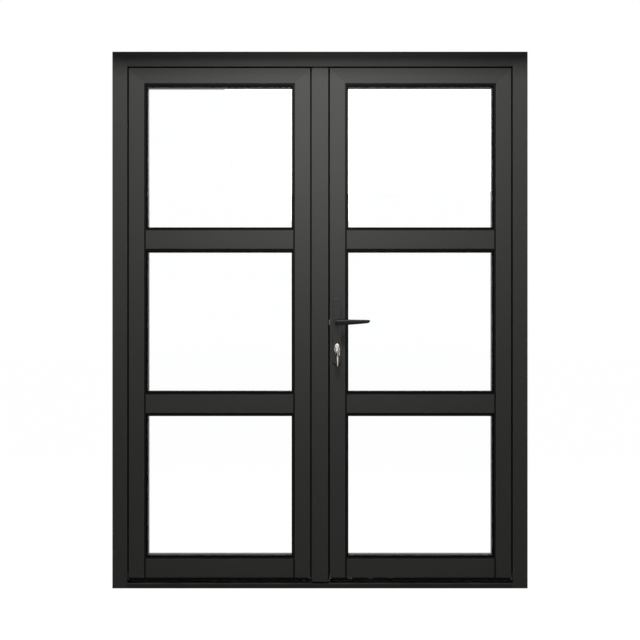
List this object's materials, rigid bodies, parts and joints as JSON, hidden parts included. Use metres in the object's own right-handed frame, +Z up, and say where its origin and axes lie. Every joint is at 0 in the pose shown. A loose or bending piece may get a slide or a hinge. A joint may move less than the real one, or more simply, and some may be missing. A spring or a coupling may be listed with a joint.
{
  "type": "double-leaf hinged glazed door",
  "caption": "Inward-opening double-leaf glazed aluminium door in its frame, with mid rails, a cover bar between the leaves, a lever handle on a long backplate and a keyed cylinder.",
  "frame": {"origin": "on the floor, half way along the width, in the middle of the frame box that holds the whole part", "axes": "+X to the right seen from outside, +Y from the outer side to the inner side, +Z up"},
  "size_m": [1.625, 0.187, 2.1],
  "materials": {
    "profiles": "satin",
    "threshold": "satin",
    "hinges": "satin",
    "pins": "satin",
    "glass": "polished",
    "spacers": "satin",
    "rubber": "matte",
    "brush": "matte",
    "packers": "matte",
    "lock_steel": "satin",
    "rods": "satin",
    "handles": "satin",
    "nickel": "polished"
  },
  "bodies": {
    "frame": {"left_jamb": "profiles", "right_jamb": "profiles", "head": "profiles", "threshold": "threshold", "bolt_sockets": "lock_steel", "frame_seal": "rubber", "hinge_frame_halves": "hinges", "hinge_pins": "pins"},
    "left_leaf": {"left_hinge_stile": "profiles", "left_meeting_stile": "profiles", "left_top_rail": "profiles", "left_bottom_rail": "profiles", "left_lower_mid_rail": "profiles", "left_upper_mid_rail": "profiles", "left_lower_glass": "glass", "left_middle_glass": "glass", "left_upper_glass": "glass", "left_glass_spacers": "spacers", "left_glazing_gaskets": "rubber", "left_glazing_beads": "profiles", "left_glass_packers": "packers", "left_bottom_seal": "brush", "left_hinge_leaf_halves": "hinges", "astragal": "profiles", "astragal_end_caps": "packers", "astragal_seal": "rubber", "strike_plate": "lock_steel", "shoot_bolt_guides": "rods"},
    "right_leaf": {"right_hinge_stile": "profiles", "right_meeting_stile": "profiles", "right_top_rail": "profiles", "right_bottom_rail": "profiles", "right_lower_mid_rail": "profiles", "right_upper_mid_rail": "profiles", "right_lower_glass": "glass", "right_middle_glass": "glass", "right_upper_glass": "glass", "right_glass_spacers": "spacers", "right_glazing_gaskets": "rubber", "right_glazing_beads": "profiles", "right_glass_packers": "packers", "right_bottom_seal": "brush", "right_hinge_leaf_halves": "hinges", "lock_case": "lock_steel", "lock_faceplate": "lock_steel", "outer_backplate": "handles", "inner_backplate": "handles", "plate_screws": "rods", "cylinder_body": "nickel"},
    "lever_set": {"lever_spindle": "rods", "outer_lever": "handles", "inner_lever": "handles"},
    "latch": {"latch_bolt": "lock_steel"},
    "deadbolt": {"deadbolt": "lock_steel"},
    "key": {"cylinder_plug": "nickel", "key": "nickel"},
    "key_ring": {"split_ring": "nickel", "spare_keys": "nickel"},
    "top_bolt": {"top_shoot_bolt": "rods"},
    "bottom_bolt": {"bottom_shoot_bolt": "rods"}
  },
  "joints": [
    {"name": "left_leaf_hinge", "type": "hinge", "parent": "frame", "child": "left_leaf", "pos_m": [-0.7645, 0.044, 1.05], "axis": [0, 0, 1], "range_deg": [0, 105]},
    {"name": "right_leaf_hinge", "type": "hinge", "parent": "frame", "child": "right_leaf", "pos_m": [0.7645, 0.044, 1.05], "axis": [0, 0, -1], "range_deg": [0, 105]},
    {"name": "lever_turn", "type": "hinge", "parent": "right_leaf", "child": "lever_set", "pos_m": [0.0665, 0, 1.041], "axis": [0, 1, 0], "range_deg": [0, 45], "stiffness_Nm_per_rad": 1.5, "springref_deg": -40.11},
    {"name": "latch_slide", "type": "slide", "parent": "right_leaf", "child": "latch", "axis": [1, 0, 0], "range_m": [0, 0.012]},
    {"name": "key_turn", "type": "hinge", "parent": "right_leaf", "child": "key", "pos_m": [0.0665, 0, 0.9486], "axis": [0, 1, 0], "range_deg": [0, 360]},
    {"name": "deadbolt_slide", "type": "slide", "parent": "right_leaf", "child": "deadbolt", "axis": [-1, 0, 0], "range_m": [0, 0.016]},
    {"name": "key_ring_swing", "type": "hinge", "parent": "key", "child": "key_ring", "pos_m": [0.0665, -0.0645, 0.9459], "axis": [1, 0, 0], "range_deg": [-90, 10]},
    {"name": "top_bolt_slide", "type": "slide", "parent": "left_leaf", "child": "top_bolt", "axis": [0, 0, 1], "range_m": [0, 0.014]},
    {"name": "bottom_bolt_slide", "type": "slide", "parent": "left_leaf", "child": "bottom_bolt", "axis": [0, 0, -1], "range_m": [0, 0.028]}
  ],
  "couplings": [
    {"joint": "latch_slide", "follows": "lever_turn", "m_per_rad": 0.01527},
    {"joint": "deadbolt_slide", "follows": "key_turn", "m_per_rad": 0.002546}
  ]
}
